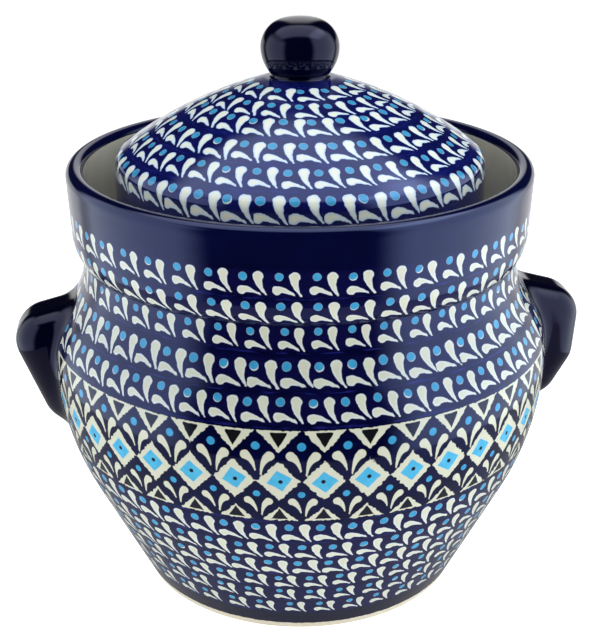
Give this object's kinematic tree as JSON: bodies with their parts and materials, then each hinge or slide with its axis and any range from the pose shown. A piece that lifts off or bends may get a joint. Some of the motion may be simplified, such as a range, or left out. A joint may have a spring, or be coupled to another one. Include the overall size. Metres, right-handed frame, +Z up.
{
  "type": "water seal pickle jar",
  "caption": "Round-bellied stoneware fermenting crock with lug handles, a water channel round the mouth, a domed knob lid whose skirt stands in the channel, and half-moon weight stones.",
  "frame": {"origin": "centre of the foot ring, on the surface that the jar stands on", "axes": "+Z up along the turning axis, +X towards the right handle, -Y towards the viewer of the picture"},
  "size_m": [0.3034, 0.261, 0.2977],
  "materials": {
    "patterned_glaze": "gloss clear glaze over deep cobalt with rows of stamped cream leaves and light blue dots, cream inside",
    "cobalt_glaze": "gloss dark cobalt glaze",
    "bare_stoneware": "bare fired stoneware, matt"
  },
  "bodies": {
    "crock": {"crock_body": "patterned_glaze", "gutter_collar": "patterned_glaze", "left_handle": "cobalt_glaze", "right_handle": "cobalt_glaze"},
    "lid": {"lid_dome": "patterned_glaze", "lid_knob": "cobalt_glaze"},
    "stone_front": {"weight_stone_front": "bare_stoneware"},
    "stone_rear": {"weight_stone_rear": "bare_stoneware"}
  },
  "joints": [
    {"name": "lid_lift", "type": "slide", "parent": "crock", "child": "lid", "axis": [0, 0, 1], "range_m": [0, 0.18]},
    {"name": "stone_front_lift", "type": "slide", "parent": "crock", "child": "stone_front", "axis": [0, 0, 1], "range_m": [0, 0.14]},
    {"name": "stone_rear_lift", "type": "slide", "parent": "crock", "child": "stone_rear", "axis": [0, 0, 1], "range_m": [0, 0.14]}
  ]
}
